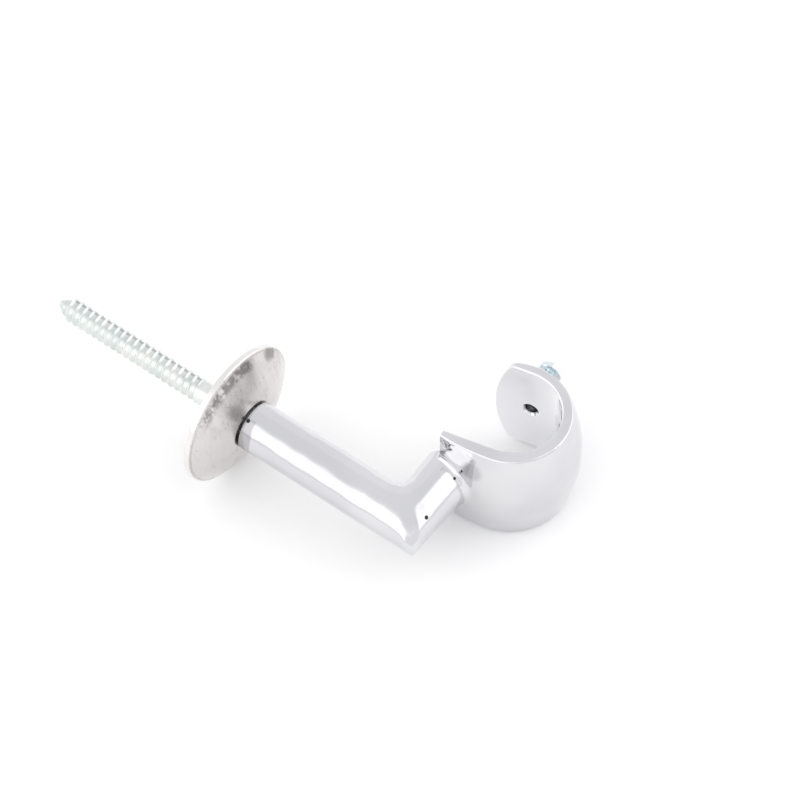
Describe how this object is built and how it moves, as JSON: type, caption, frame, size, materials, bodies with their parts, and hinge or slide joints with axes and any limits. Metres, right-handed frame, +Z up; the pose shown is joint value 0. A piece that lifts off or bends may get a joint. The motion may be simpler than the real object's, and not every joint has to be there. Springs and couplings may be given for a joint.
{
  "type": "curtain pole bracket",
  "caption": "Chromed ceiling bracket for a curtain pole: round arm with a mitred elbow, an open pole cup with a clamp screw, a dished cover rosette and a hanger bolt.",
  "frame": {"origin": "on the hanger bolt's axis in the ceiling plane, where the rosette's back rim lies", "axes": "+Z up the hanger bolt into the ceiling, X along the pole, the stub and the pole cup towards -Y"},
  "size_m": [0.0468, 0.0955, 0.1654],
  "materials": {
    "chrome": "polished",
    "rosette": "scuffed",
    "zinc": "zinc plated"
  },
  "bodies": {
    "bracket": {"bracket_casting": "chrome", "cover_rosette": "rosette", "hanger_bolt": "zinc"},
    "clamp_screw": {"clamp_screw": "zinc"}
  },
  "joints": [
    {"name": "clamp_screw_advance", "type": "slide", "parent": "bracket", "child": "clamp_screw", "axis": [0, 0.9755, -0.2198], "range_m": [0, 0.0075]}
  ]
}
